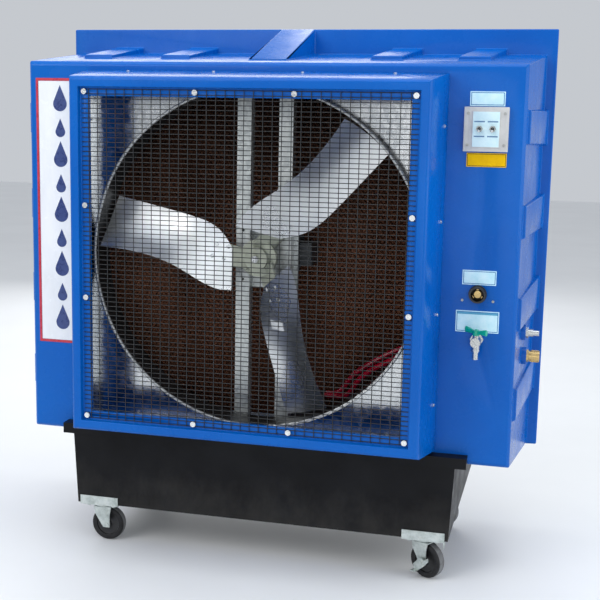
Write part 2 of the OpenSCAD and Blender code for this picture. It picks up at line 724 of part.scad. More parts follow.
module float_arm() {
  color("#e08a2a") {
    translate([648, 21, 392]) rotate([-90, 0, 0]) cylinder(r = 3, h = 28, $fn = 32);
    difference() {
      box(520, 653, 30, 40, 388, 396);
      translate([648, 20, 392]) rotate([-90, 0, 0]) cylinder(r = 3, h = 30, $fn = 32);
    }
    translate([520, 35, 378]) rotate_extrude($fn = 48) intersection() {
      scale([1, 0.62]) circle(r = 36, $fn = 48);
      translate([0, -40]) square([40, 80]);
    }
  }
}

// ---------------------------------------------------------------- stand
// Tapered block under the cabinet, drawn in by g on every side
module base_block(g, z0, dz) {
  zf = cab_bot + dz;
  zr = bot_z(284 - g) + dz;
  hexa([[-547 + g, -184 + g, z0], [547 - g, -184 + g, z0], [558 - g, -186 + g, zf], [-558 + g, -186 + g, zf],
        [-553 + g, 284 - g, z0], [553 - g, 284 - g, z0], [592 - g, 284 - g, zr], [-592 + g, 284 - g, zr]]);
}

module base() {
  color("#191a1c") difference() {
    union() {
      base_block(0, 117, 4);
      box(-588, 588, -192, y_face, 328, 358);
    }
    base_block(8, 125, 8);
    taper(y_face, [-800, 800, cab_bot - 0.1, 500], y_fl + 10, [-800, 800, bot_z(y_fl + 10) - 0.1, 500]);
    box(-550, 550, -178, y_face + 1, 320, 350);
  }
}

module at_corners() {
  for (x = [-1, 1], y = [0, 1]) translate([0, y == 0 ? -150 : 250, 0]) mirror([x < 0 ? 1 : 0, 0, 0])
    translate([caster_x, 0, 0]) mirror([0, y, 0]) children();
}

module corner_brackets() {
  color("#aab3b0") {
    at_corners() difference() {
      union() {
        box(-58, 60, -38.6, 40, 114, 117);
        box(-58, 60, -38.6, -35.6, 114, 141);
      }
      for (x = [-38, 38], y = [-22, 22]) cyl_z(x, y, 113, 118, 4.5, 24);
    }
    for (m = [0, 1]) translate([caster_x, 50, 0]) mirror([0, m, 0]) box(57, 60, -238.6, -208, 97, 116);
  }
}

module caster_plates() {
  color("#b4bcb9") at_corners() {
    difference() {
      union() {
        box(-50, 50, -33, 33, 111, 114);
        cyl_z(0, 0, 105.3, 112, 27);
        cyl_z(0, 0, 101.4, 112, 6);
      }
      for (x = [-38, 38], y = [-22, 22]) cyl_z(x, y, 110, 115, 4.5, 24);
    }
    for (x = [-38, 38], y = [-22, 22]) cyl_z(x, y, 107, 111, 7, 6);
  }
}

module fork(x, y, a, pin = 27) {
  color("#b7bfbb") translate([x, y, 0]) rotate([0, 0, a]) {
    difference() {
      union() {
        cyl_z(0, 0, 102, 105, 29);
        box(-24, 30, -24, 24, 102, 105);
        for (s = [-1, 1]) translate([0, s * 22.5 + 1.5, 0]) rotate([90, 0, 0]) linear_extrude(height = 3)
          polygon([[-24, 103], [-20, 82], [trail - 10, 42], [trail + 10, 42], [26, 82], [30, 103]]);
      }
      cyl_z(0, 0, 101, 106, 6.06);
      cyl_y(trail, ax_z, -30, 30, 5.02);
    }
    cyl_y(trail, ax_z, -pin, 27, 5);
    for (s = [-1, 1]) translate([trail, s * 25.6, ax_z]) rotate([90, 0, 0])
      cylinder(r = 8, h = 3.2, center = true, $fn = 6);
  }
}

module wheel(x, y, a) {
  translate([x, y, 0]) rotate([0, 0, a]) translate([trail, 0, ax_z]) rotate([-90, 0, 0]) {
    color("#4b4e50") rotate_extrude($fn = 64) polygon([[5.06, -19], [13, -19], [13, -10], [33, -8], [36, -13],
      [36, 13], [33, 8], [13, 10], [13, 19], [5.06, 19]]);
    color("#1c1d1f") rotate_extrude($fn = 64) polygon([[36.02, -14], [44, -15], [48, -13], [wheel_d / 2, -8],
      [wheel_d / 2, 8], [48, 13], [44, 15], [36.02, 14]]);
  }
}

module fork_fl() { fork(-caster_x, -150, 0); }
module fork_fr() { fork(caster_x, -150, steer_fr, 35); }
module fork_rl() { fork(-caster_x, 250, 35); }
module fork_rr() { fork(caster_x, 250, -20); }
module wheel_fl() { wheel(-caster_x, -150, 0); }
module wheel_fr() { wheel(caster_x, -150, steer_fr); }
module wheel_rl() { wheel(-caster_x, 250, 35); }
module wheel_rr() { wheel(caster_x, 250, -20); }

module brake_pedal() {
  color("#c2c8c5") translate([caster_x, -150, 0]) rotate([0, 0, steer_fr]) translate([trail, 0, ax_z]) {
    difference() {
      union() {
        cyl_y(0, 0, -33.5, -30.5, 12);
        translate([0, -30.5, 0]) rotate([90, 0, 0]) linear_extrude(height = 3)
          polygon([[-20, -24], [-8, -25], [10, -10], [26, 8], [24, 18], [10, 8], [-10, 6], [-24, -10]]);
        box(-24, -8, -46, -30.6, -27, -24);
        cyl_y(0, 0, -30.6, -27.5, 7);
      }
      cyl_y(0, 0, -34, -27, 5.06);
    }
  }
}

cabinet();
rear_flange();
fan_shroud();
orifice_panel();
venturi_ring();
guard();
guard_screws();
shroud_screws();
struts();
strut_brackets();
motor_plate();
motor_body();
motor_box();
motor_shaft();
fan_hub();
blade_1();
blade_2();
blade_3();
rivets();
control_box();
control_cover();
cover_screws();
toggle_bushings();
toggle_fan();
toggle_pump();
sign_panel();
sign_marks();
label_plates();
power_inlet();
inlet_core();
valve_body();
valve_handle();
hose_inlet();
hose_nut();
overflow_fitting();
pad_1();
pad_2();
pad_3();
pad_4();
pad_shelf();
pad_retainer();
header_pipe();
pump_body();
impeller();
hose_drain();
hose_supply();
float_valve();
float_arm();
base();
corner_brackets();
caster_plates();
fork_fl();
fork_fr();
fork_rl();
fork_rr();
wheel_fl();
wheel_fr();
wheel_rl();
wheel_rr();
brake_pedal();
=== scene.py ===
"""Looks of the evaporative cooler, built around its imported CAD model."""

import json
import math
import random

import bmesh
import bpy
from mathutils import Matrix, Vector
from mathutils.bvhtree import BVHTree


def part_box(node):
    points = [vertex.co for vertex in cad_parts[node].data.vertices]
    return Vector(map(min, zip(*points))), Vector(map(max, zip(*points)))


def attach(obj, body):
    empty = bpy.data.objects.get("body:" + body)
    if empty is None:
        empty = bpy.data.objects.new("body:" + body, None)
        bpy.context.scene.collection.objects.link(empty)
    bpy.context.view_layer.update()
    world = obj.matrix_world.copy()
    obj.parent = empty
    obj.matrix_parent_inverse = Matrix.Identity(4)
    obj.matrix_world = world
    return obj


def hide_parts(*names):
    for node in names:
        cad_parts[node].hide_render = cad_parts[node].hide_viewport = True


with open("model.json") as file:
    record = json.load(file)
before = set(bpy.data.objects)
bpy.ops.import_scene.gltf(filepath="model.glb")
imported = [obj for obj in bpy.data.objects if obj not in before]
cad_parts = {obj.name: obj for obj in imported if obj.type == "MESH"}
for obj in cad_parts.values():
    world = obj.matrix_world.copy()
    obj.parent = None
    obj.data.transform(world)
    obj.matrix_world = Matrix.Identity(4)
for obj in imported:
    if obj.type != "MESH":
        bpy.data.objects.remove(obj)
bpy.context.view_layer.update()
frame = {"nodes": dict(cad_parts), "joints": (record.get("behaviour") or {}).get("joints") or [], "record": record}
nodes = frame["nodes"]
TAG = (0.0453, 0.680)  # where the tag lies on the lower blade, across and up
# Labels of the control column: left and right side, lower and upper edge
PALE_LABELS = ((0.553, 0.643, 1.2945, 1.332), (0.553, 0.642, 0.827, 0.866), (0.540, 0.654, 0.699, 0.757))
YELLOW_LABEL = (0.550, 0.653, 1.138, 1.174)
LABEL_HEAD = 0.014  # height of the coloured head of the lowest pale label
WELD = 1e-5  # corners closer than this are one corner
HOSE_RADIUS = 0.0087


# ------------------------------------------------------------------ camera and light
def place_camera():
    """Stands where the photographer stood: a little right of the fan and above its axis."""
    yaw, pitch, roll = (math.radians(a) for a in (13.68, 8.81, 1.12))
    ahead = Vector((-math.sin(yaw) * math.cos(pitch), math.cos(yaw) * math.cos(pitch), -math.sin(pitch)))
    level = Vector((math.cos(yaw), math.sin(yaw), 0))
    up = level.cross(ahead)
    right = level * math.cos(roll) + up * math.sin(roll)
    up = up * math.cos(roll) - level * math.sin(roll)
    data = bpy.data.cameras.new("camera")
    data.lens, data.sensor_width = 64.02, 36
    data.shift_x, data.shift_y = 0.0106, -0.0192
    data.clip_start, data.clip_end = 0.05, 100
    cam = bpy.data.objects.new("camera", data)
    cam.matrix_world = Matrix.Translation((0.7819, -2.9885, 1.2416)) @ Matrix(
        (right, up, -ahead)).transposed().to_4x4()
    bpy.context.scene.collection.objects.link(cam)
    bpy.context.scene.camera = cam


def area_light(name, place, target, size, power, colour=(1, 1, 1)):
    data = bpy.data.lights.new(name, "AREA")
    data.shape, data.size, data.size_y = "RECTANGLE", size[0], size[1]
    data.energy, data.color = power, colour
    lamp = bpy.data.objects.new(name, data)
    lamp.location = place
    lamp.rotation_euler = (Vector(target) - Vector(place)).to_track_quat("-Z", "Y").to_euler()
    bpy.context.scene.collection.objects.link(lamp)


place_camera()
area_light("key", (-2.8, -3.6, 3.2), (0, 0, 0.9), (3.0, 2.8), 78, (1, 0.985, 0.96))
area_light("sky", (0.2, -0.4, 4.2), (0, 0.1, 1), (4.5, 3.5), 92, (0.93, 0.97, 1))
area_light("side", (4.2, -0.6, 1.9), (0.6, 0, 0.9), (3.2, 3.0), 64, (0.95, 0.98, 1))
area_light("front", (1.2, -5.0, 1.4), (0, 0, 0.8), (3.0, 2.2), 24)
area_light("behind", (-1.5, 4.2, 2.4), (0, 0.3, 0.9), (3, 3), 60)
world = bpy.data.worlds.new("studio")
world.use_nodes = True
world.node_tree.nodes["Background"].inputs[0].default_value = (0.90, 0.94, 1, 1)
world.node_tree.nodes["Background"].inputs[1].default_value = 0.62
bpy.context.scene.world = world
bpy.context.scene.view_settings.view_transform = "Standard"


# ------------------------------------------------------------------ materials
class Mat:
    """One material: a Principled shader with helpers for the nodes that vary it."""

    def __init__(self, name, base, rough=0.5, metal=0.0, **extra):
        self.m = bpy.data.materials.new(name)
        self.m.use_nodes = True
        self.tree = self.m.node_tree
        self.s = self.tree.nodes["Principled BSDF"].inputs
        self.coord = self.tree.nodes.new("ShaderNodeTexCoord").outputs["Object"]
        self.normal = None
        self.s["Base Color"].default_value = (*base, 1)
        self.s["Roughness"].default_value = rough
        self.s["Metallic"].default_value = metal
        for key, value in extra.items():
            self.s[key.replace("_", " ")].default_value = value

    def put(self, socket, value):
        if isinstance(value, bpy.types.NodeSocket):
            self.tree.links.new(value, socket)
        elif socket.type == "RGBA" and len(value) == 3:
            socket.default_value = (*value, 1)
        else:
            socket.default_value = value

    def math(self, op, a, b=0.0):
        n = self.tree.nodes.new("ShaderNodeMath")
        n.operation = op
        self.put(n.inputs[0], a)
        self.put(n.inputs[1], b)
        return n.outputs[0]

    def axis(self, i):
        n = self.tree.nodes.new("ShaderNodeSeparateXYZ")
        self.put(n.inputs[0], self.coord)
        return n.outputs[i]

    def place(self, stretch, shift):
        n = self.tree.nodes.new("ShaderNodeMapping")
        self.put(n.inputs["Vector"], self.coord)
        n.inputs["Location"].default_value = (shift, shift * 0.7, -shift)
        n.inputs["Scale"].default_value = stretch
        return n.outputs[0]

    def noise(self, scale, detail=3.0, rough=0.5, stretch=(1, 1, 1), shift=0.0):
        n = self.tree.nodes.new("ShaderNodeTexNoise")
        self.put(n.inputs["Vector"], self.place(stretch, shift))
        n.inputs["Scale"].default_value = scale
        n.inputs["Detail"].default_value = detail
        n.inputs["Roughness"].default_value = rough
        return n.outputs["Fac"]

    def cells(self, scale, stretch=(1, 1, 1)):
        """A random colour in each crystal-like cell."""
        n = self.tree.nodes.new("ShaderNodeTexVoronoi")
        self.put(n.inputs["Vector"], self.place(stretch, 0.0))
        n.inputs["Scale"].default_value = scale
        return n.outputs["Color"]

    def ramp(self, fac, *stops):
        """Colours along a value; each stop is (place, colour or grey)."""
        n = self.tree.nodes.new("ShaderNodeValToRGB")
        self.put(n.inputs[0], fac)
        e = n.color_ramp.elements
        while len(e) < len(stops):
            e.new(0.5)
        for item, (at, colour) in zip(e, stops):
            item.position = at
            item.color = (*colour, 1) if isinstance(colour, tuple) else (colour, colour, colour, 1)
        return n.outputs[0]

    def mix(self, fac, a, b):
        n = self.tree.nodes.new("ShaderNodeMix")
        n.data_type = "RGBA"
        self.put(n.inputs[0], fac)
        self.put(n.inputs[6], a)
        self.put(n.inputs[7], b)
        return n.outputs[2]

    def span(self, fac, a, b, lo=0.3, hi=0.7):
        """fac between lo and hi becomes a value between a and b."""
        n = self.tree.nodes.new("ShaderNodeMapRange")
        for i, v in enumerate((fac, lo, hi, a, b)):
            self.put(n.inputs[i], v)
        return n.outputs[0]

    def bump(self, height, strength, distance):
        n = self.tree.nodes.new("ShaderNodeBump")
        self.put(n.inputs["Height"], height)
        n.inputs["Strength"].default_value = strength
        n.inputs["Distance"].default_value = distance
        if self.normal is not None:
            self.put(n.inputs["Normal"], self.normal)
        self.normal = n.outputs[0]
        self.put(self.s["Normal"], self.normal)

    def colour(self, value):
        self.put(self.s["Base Color"], value)

    def rough(self, value):
        self.put(self.s["Roughness"], value)

    def inside(self, x0, x1, z0, z1, rim=0.0):
        """1 within a rectangle seen from the front, drawn in by rim."""
        dx = self.math("ABSOLUTE", self.math("SUBTRACT", self.axis(0), (x0 + x1) / 2))
        dz = self.math("ABSOLUTE", self.math("SUBTRACT", self.axis(2), (z0 + z1) / 2))
        return self.math("MULTIPLY", self.math("LESS_THAN", dx, (x1 - x0) / 2 - rim),
                         self.math("LESS_THAN", dz, (z1 - z0) / 2 - rim))


def polyethylene():
    """Glossy rotationally moulded blue: soft waves, fine orange peel, dust and faint runs."""
    m = Mat("blue_polyethylene", (0.0, 0.11, 0.46), 0.28, Coat_Weight=0.08, Coat_Roughness=0.08,
            Specular_IOR_Level=0.15)
    tone = m.ramp(m.noise(2.2, 4, 0.55), (0.3, (0.0, 0.090, 0.41)), (0.7, (0.0, 0.120, 0.50)))
    streak = m.noise(9, 5, 0.65, stretch=(1, 1, 0.18), shift=3.1)
    tone = m.mix(m.span(streak, 0.0, 0.14, 0.55, 0.80), tone, (0.0, 0.175, 0.53))
    speck = m.noise(260, 2, 0.5, shift=1.7)
    tone = m.mix(m.span(speck, 0.0, 0.04, 0.62, 0.74), tone, (0.10, 0.30, 0.58))
    m.colour(tone)
    m.rough(m.span(m.noise(14, 4, 0.6, shift=5.0), 0.20, 0.36))
    m.bump(m.noise(7, 2, 0.4, shift=0.6), 0.16, 0.010)
    m.bump(m.noise(420, 2, 0.5, shift=2.2), 0.10, 0.0006)
    return m.m


def galvanised(name, light, dark, spangle=90, metal=0.85, rough=(0.30, 0.48)):
    """Hot-dip zinc: crystal spangles, faint white bloom and long rubbed marks."""
    m = Mat(name, light, 0.4, metal)
    grain = m.cells(spangle, stretch=(1, 1, 0.8))
    tone = m.mix(m.ramp(grain, (0.2, 0.0), (0.8, 1.0)), dark, light)
    bloom = m.noise(16, 5, 0.65, shift=4.0)
    tone = m.mix(m.span(bloom, 0.0, 0.4, 0.5, 0.75), tone, (0.78, 0.80, 0.79))
    m.colour(tone)
    m.rough(m.span(grain, rough[0], rough[1], 0.2, 0.8))
    m.bump(m.noise(120, 3, 0.5, stretch=(1, 1, 0.2), shift=1.0), 0.10, 0.0006)
    return m.m


def ring_sheet():
    """The fan ring: a dull dark sheet, darkened inside with painted shade, its rolled front lip given a painted
    highlight.
    """
    m = Mat("ring_sheet", (0.08, 0.085, 0.09), 0.45, 0.7)
    # painted shade: the inside of the ring is darkened nearly to black
    tone = m.ramp(m.noise(20, 5, 0.65), (0.3, (0.020, 0.021, 0.022)), (0.7, (0.055, 0.058, 0.060)))
    # painted highlight: everything in front of y = -0.1965 is painted bright
    lip = m.math("LESS_THAN", m.axis(1), -0.1965)
    m.colour(m.mix(lip, tone, (0.55, 0.57, 0.58)))
    m.rough(m.span(m.noise(60, 4, 0.6, shift=3.0), 0.30, 0.55))
    m.bump(m.noise(150, 3, 0.5), 0.10, 0.0005)
    return m.m


def zinc_plate():
    """Plated pressings of the casters, dulled and a little stained."""
    m = Mat("zinc_plate", (0.50, 0.54, 0.52), 0.4, 0.8)
    tone = m.ramp(m.noise(38, 5, 0.65), (0.3, (0.36, 0.41, 0.39)), (0.55, (0.58, 0.63, 0.61)),
                  (0.8, (0.70, 0.73, 0.70)))
    stain = m.noise(70, 4, 0.7, shift=2.0)
    m.colour(m.mix(m.span(stain, 0.0, 0.45, 0.58, 0.75), tone, (0.36, 0.31, 0.22)))
    m.rough(m.span(m.noise(90, 3, 0.6, shift=6.0), 0.28, 0.55))
    m.bump(m.noise(260, 3, 0.6), 0.12, 0.0005)
    return m.m


def blade_sheet():
    """Pressed blade metal, polished by the air, with a soft wave and broad dull patches."""
    m = Mat("blade_sheet", (0.74, 0.76, 0.78), 0.28, 1.0)
    tone = m.ramp(m.noise(6, 1, 0.4), (0.3, (0.72, 0.74, 0.75)), (0.7, (0.88, 0.90, 0.92)))
    dull = m.noise(9, 1, 0.4, stretch=(1, 1, 0.5), shift=3.0)
    m.colour(m.mix(m.span(dull, 0.0, 0.16, 0.45, 0.75), tone, (0.46, 0.45, 0.43)))
    m.rough(m.span(m.noise(5, 1, 0.4, shift=7.0), 0.26, 0.33))
    m.bump(m.noise(4, 0, 0.4, shift=1.5), 0.10, 0.004)
    return m.m


def casting(name, light, dark, metal):
    """Sand-cast metal with a grainy skin."""
    m = Mat(name, light, 0.55, metal)
    m.colour(m.ramp(m.noise(30, 5, 0.65), (0.3, dark), (0.7, light)))
    m.rough(m.span(m.noise(60, 3, 0.6, shift=2.0), 0.42, 0.68))
    m.bump(m.noise(380, 4, 0.6), 0.35, 0.0008)
    return m.m


def painted(name, light, dark, rough=(0.35, 0.55), metal=0.0, grain=300, coat=0.0):
    """Enamel or powder coat with a fine peel and rubbed tone."""
    m = Mat(name, light, 0.45, metal, Coat_Weight=coat, Coat_Roughness=0.2)
    m.colour(m.ramp(m.noise(18, 5, 0.6), (0.3, dark), (0.7, light)))
    m.rough(m.span(m.noise(40, 4, 0.6, shift=3.0), rough[0], rough[1]))
    m.bump(m.noise(grain, 2, 0.5), 0.12, 0.0006)
    return m.m


def base_plastic():
    """Black moulded stand: satin, scuffed, with pale dust that gathers low down."""
    m = Mat("black_stand", (0.008, 0.008, 0.009), 0.4, Specular_IOR_Level=0.12)
    low_down = m.span(m.axis(2), 1.0, 0.12, 0.11, 0.34)
    dust = m.math("MULTIPLY", low_down, m.noise(12, 6, 0.7, stretch=(1, 1, 0.6)))
    tone = m.ramp(m.noise(6, 4, 0.6), (0.3, (0.004, 0.004, 0.005)), (0.7, (0.010, 0.0105, 0.012)))
    m.colour(m.mix(m.span(dust, 0.0, 0.16, 0.25, 0.7), tone, (0.16, 0.15, 0.13)))
    m.rough(m.span(m.noise(22, 5, 0.65, shift=2.0), 0.28, 0.50))
    m.bump(m.noise(5, 2, 0.4), 0.12, 0.010)
    m.bump(m.noise(480, 2, 0.5), 0.14, 0.0006)
    return m.m


def wet_paper():
    """Corrugated cellulose, darkened towards the top with painted shade, with rusty and mineral-pale bands."""
    m = Mat("wet_cellulose", (0.12, 0.055, 0.03), 0.72, Specular_IOR_Level=0.35)
    tone = m.ramp(m.noise(5, 5, 0.6, stretch=(1, 1, 0.5)), (0.30, (0.18, 0.068, 0.036)),
                  (0.52, (0.31, 0.125, 0.068)), (0.75, (0.43, 0.19, 0.11)))
    fibre = m.noise(170, 4, 0.7, shift=2.0)
    tone = m.mix(m.span(fibre, 0.0, 0.55, 0.45, 0.8), tone, (0.46, 0.25, 0.15))
    scale = m.noise(24, 6, 0.7, stretch=(1, 1, 0.25), shift=9.0)
    tone = m.mix(m.span(scale, 0.0, 0.30, 0.60, 0.80), tone, (0.40, 0.32, 0.25))
    # painted shade: the pad darkens almost to black towards its top
    top_shade = m.math("ADD", m.axis(2), m.span(m.noise(4, 4, 0.6, shift=5.0), -0.12, 0.12))
    m.colour(m.mix(m.span(top_shade, 0.0, 0.72, 0.75, 1.25), tone, (0.020, 0.010, 0.008)))
    m.rough(m.span(fibre, 0.55, 0.9))
    m.bump(fibre, 0.4, 0.0008)
    return m.m


def rubber(name, light, dark, rough=(0.5, 0.75)):
    """Rubber with a dull, slightly dusty skin."""
    m = Mat(name, light, 0.6, Specular_IOR_Level=0.3)
    m.colour(m.ramp(m.noise(45, 5, 0.65), (0.3, dark), (0.7, light)))
    m.rough(m.span(m.noise(60, 4, 0.6, shift=2.0), rough[0], rough[1]))
    m.bump(m.noise(340, 3, 0.6), 0.25, 0.0006)
    return m.m


def brass():
    """Turned brass, toned in patches, with fine marks round its axis."""
    m = Mat("turned_brass", (0.65, 0.46, 0.19), 0.3, 0.95)
    m.colour(m.ramp(m.noise(60, 5, 0.65), (0.3, (0.40, 0.27, 0.11)), (0.7, (0.76, 0.56, 0.25))))
    m.rough(m.span(m.noise(120, 3, 0.6), 0.20, 0.42))
    m.bump(m.noise(900, 2, 0.5, stretch=(1, 0.15, 0.15)), 0.10, 0.0002)
    return m.m


def sign_face():
    """The sign's glossy white film, faintly soiled by rain."""
    m = Mat("sign_vinyl", (0.86, 0.88, 0.91), 0.22, Coat_Weight=0.4, Coat_Roughness=0.08)
    soil = m.noise(7, 6, 0.65, stretch=(1, 1, 0.3))
    m.colour(m.ramp(soil, (0.35, (0.74, 0.77, 0.80)), (0.65, (0.90, 0.92, 0.95))))
    m.rough(m.span(m.noise(20, 4, 0.6, shift=4.0), 0.16, 0.32))
    m.bump(m.noise(6, 2, 0.4), 0.08, 0.002)
    return m.m


def sign_inks():
    """Red border and navy drops, told apart by where they are on the panel."""
    m = Mat("sign_inks", (0.03, 0.05, 0.2), 0.3, Coat_Weight=0.3, Coat_Roughness=0.1)
    lo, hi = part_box("sign_panel")
    middle = m.inside(lo.x, hi.x, lo.z, hi.z, 0.0075)
    wear = m.noise(60, 5, 0.7)
    navy = m.ramp(wear, (0.3, (0.012, 0.030, 0.145)), (0.7, (0.030, 0.062, 0.22)))
    red = m.ramp(wear, (0.3, (0.44, 0.010, 0.030)), (0.7, (0.58, 0.026, 0.055)))
    m.colour(m.mix(middle, red, navy))
    m.rough(m.span(wear, 0.2, 0.4))
    return m.m


def label_film():
    """Laminated labels: pale film with a thin blue rim, and one plain yellow strip."""
    m = Mat("label_film", (0.60, 0.86, 0.93), 0.4, Specular_IOR_Level=0.1)
    soil = m.noise(50, 5, 0.65)
    tone = m.ramp(soil, (0.3, (0.50, 0.80, 0.90)), (0.7, (0.68, 0.90, 0.97)))
    for label in PALE_LABELS:
        rim = m.math("SUBTRACT", m.inside(*label, 0.0024), m.inside(*label, 0.0042))
        tone = m.mix(rim, tone, (0.03, 0.16, 0.42))
    x0, x1, _, z1 = PALE_LABELS[-1]
    head = m.inside(x0, x1, z1 - LABEL_HEAD, z1, 0.0042)
    tone = m.mix(head, tone, (0.10, 0.36, 0.55))
    yellow = m.ramp(soil, (0.3, (0.84, 0.48, 0.0)), (0.7, (0.98, 0.60, 0.0)))
    tone = m.mix(m.inside(*YELLOW_LABEL, -0.005), tone, yellow)
    rim = m.math("SUBTRACT", m.inside(*YELLOW_LABEL, 0.002), m.inside(*YELLOW_LABEL, 0.0034))
    m.colour(m.mix(rim, tone, (0.05, 0.04, 0.02)))
    m.rough(m.span(soil, 0.22, 0.42))
    return m.m


def cover_coat():
    """The switch cover: grey coat, with a pale film on its raised middle."""
    m = Mat("cover_coat", (0.56, 0.58, 0.57), 0.42, Specular_IOR_Level=0.35)
    lo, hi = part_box("control_cover")
    x, z = (lo.x + hi.x) / 2, (lo.z + hi.z) / 2
    wear = m.noise(30, 5, 0.65)
    coat = m.ramp(wear, (0.3, (0.50, 0.50, 0.49)), (0.7, (0.62, 0.62, 0.61)))
    film = m.ramp(wear, (0.3, (0.56, 0.80, 0.86)), (0.7, (0.72, 0.90, 0.94)))
    tone = m.mix(m.inside(x - 0.036, x + 0.036, z - 0.047, z + 0.047, 0.002), coat, film)
    for side in (-0.017, 0.017):
        ring = m.inside(x + side - 0.0135, x + side + 0.0135, z - 0.020, z - 0.0165)
        tone = m.mix(ring, tone, (0.12, 0.24, 0.40))
        ring = m.inside(x + side - 0.0135, x + side + 0.0135, z + 0.0180, z + 0.0215)
        tone = m.mix(ring, tone, (0.12, 0.24, 0.40))
    m.colour(tone)
    m.rough(m.span(m.noise(40, 4, 0.6, shift=3.0), 0.34, 0.5))
    m.bump(m.noise(300, 2, 0.5), 0.10, 0.0006)
    return m.m


def hose_red():
    """Glossy red hose."""
    m = Mat("red_hose", (0.50, 0.0, 0.028), 0.22, Coat_Weight=0.5, Coat_Roughness=0.08)
    m.colour(m.ramp(m.noise(30, 4, 0.6), (0.3, (0.38, 0.0, 0.018)), (0.7, (0.60, 0.006, 0.04))))
    m.rough(m.span(m.noise(60, 4, 0.6, shift=2.0), 0.16, 0.32))
    m.bump(m.noise(200, 2, 0.5), 0.05, 0.0004)
    return m.m


def floor_look():
    """Pale, even studio floor."""
    m = Mat("studio_floor", (0.86, 0.87, 0.88), 0.6)
    m.colour(m.ramp(m.noise(1.2, 4, 0.6), (0.3, (0.83, 0.84, 0.85)), (0.7, (0.87, 0.88, 0.89))))
    m.bump(m.noise(60, 3, 0.5), 0.03, 0.001)
    return m.m


ZINC = galvanised("galvanised_sheet", (0.66, 0.69, 0.68), (0.50, 0.53, 0.53), 110, 0.8)
MIRROR = galvanised("bright_sheet", (0.80, 0.82, 0.83), (0.66, 0.69, 0.71), 70, 1.0, (0.14, 0.24))
DULL = galvanised("dull_nickel", (0.40, 0.41, 0.40), (0.26, 0.27, 0.27), 300, 0.9, (0.28, 0.42))
looks = {
    "blue_shell": polyethylene(),
    "galvanised": ZINC,
    "venturi": ring_sheet(),
    "guard_wire": painted("guard_coating", (0.014, 0.016, 0.018), (0.006, 0.007, 0.008), (0.4, 0.6), 0, 500),
    "screw": galvanised("bright_screw", (0.88, 0.89, 0.88), (0.66, 0.68, 0.68), 400, 0.9, (0.15, 0.32)),
    "motor_grey": painted("motor_enamel", (0.085, 0.092, 0.098), (0.045, 0.050, 0.055), (0.38, 0.6)),
    "bright_steel": galvanised("bright_steel", (0.74, 0.76, 0.77), (0.52, 0.54, 0.55), 300, 0.95,
                               (0.18, 0.34)),
    "hub_cast": casting("hub_casting", (0.46, 0.49, 0.41), (0.31, 0.33, 0.27), 0.3),
    "blade_metal": blade_sheet(),
    "grey_enclosure": painted("enclosure_coat", (0.60, 0.63, 0.62), (0.48, 0.51, 0.51), (0.32, 0.5), 0.1),
    "sign_white": sign_face(),
    "sign_ink": sign_inks(),
    "label": label_film(),
    "black_plastic": painted("black_moulding", (0.022, 0.022, 0.024), (0.010, 0.010, 0.012), (0.35, 0.6)),
    "contact_brass": brass(),
    "plated": galvanised("plated_brass", (0.60, 0.61, 0.60), (0.40, 0.41, 0.41), 500, 0.95, (0.16, 0.32)),
    "green_plastic": painted("green_handle", (0.0, 0.42, 0.27), (0.0, 0.30, 0.19), (0.22, 0.4), 0.0, 400,
                             0.4),
    "brass": brass(),
    "cooling_pad": wet_paper(),
    "white_pipe": painted("white_pipe", (0.80, 0.80, 0.76), (0.66, 0.65, 0.60), (0.3, 0.5)),
    "impeller": painted("amber_plastic", (0.70, 0.45, 0.10), (0.52, 0.32, 0.06), (0.3, 0.5)),
    "red_hose": hose_red(),
    "float": painted("orange_float", (0.72, 0.26, 0.04), (0.52, 0.17, 0.03), (0.35, 0.55)),
    "zinc": zinc_plate(),
    "tyre": rubber("tyre_rubber", (0.022, 0.022, 0.024), (0.009, 0.009, 0.010)),
}
HUB_PLASTIC = painted("wheel_core", (0.018, 0.018, 0.020), (0.008, 0.008, 0.009), (0.32, 0.5))
TREAD = rubber("worn_tread", (0.21, 0.215, 0.22), (0.10, 0.10, 0.105), (0.6, 0.85))

slot_of = {p["node"]: p["material_slot"] for p in frame["record"]["subparts"]}
for name, obj in nodes.items():
    obj.data.materials.clear()
    obj.data.materials.append(looks[slot_of[name]])
nodes["base"].data.materials[0] = base_plastic()
nodes["orifice_panel"].data.materials[0] = MIRROR
for name in ("cover_screws", "toggle_bushings"):
    nodes[name].data.materials[0] = DULL


# ------------------------------------------------------------------ CAD nodes: shading and softened edges
def crease(obj):
    """Smooth shading that keeps a turned or pressed node's real corners."""
    weld = obj.modifiers.new("weld", "WELD")
    weld.merge_threshold = WELD
    split = obj.modifiers.new("split", "EDGE_SPLIT")
    split.split_angle = math.radians(35)
    for p in obj.data.polygons:
        p.use_smooth = True


for obj in nodes.values():
    crease(obj)


def whole(name):
    """A CAD node's mesh with its loose corners joined, as a new object."""
    bm = bmesh.new()
    bm.from_mesh(nodes[name].data)
    bmesh.ops.remove_doubles(bm, verts=bm.verts, dist=WELD)
    mesh = bpy.data.meshes.new(name + "_whole")
    bm.to_mesh(mesh)
    bm.free()
    obj = bpy.data.objects.new(name + "_whole", mesh)
    bpy.context.scene.collection.objects.link(obj)
    return obj


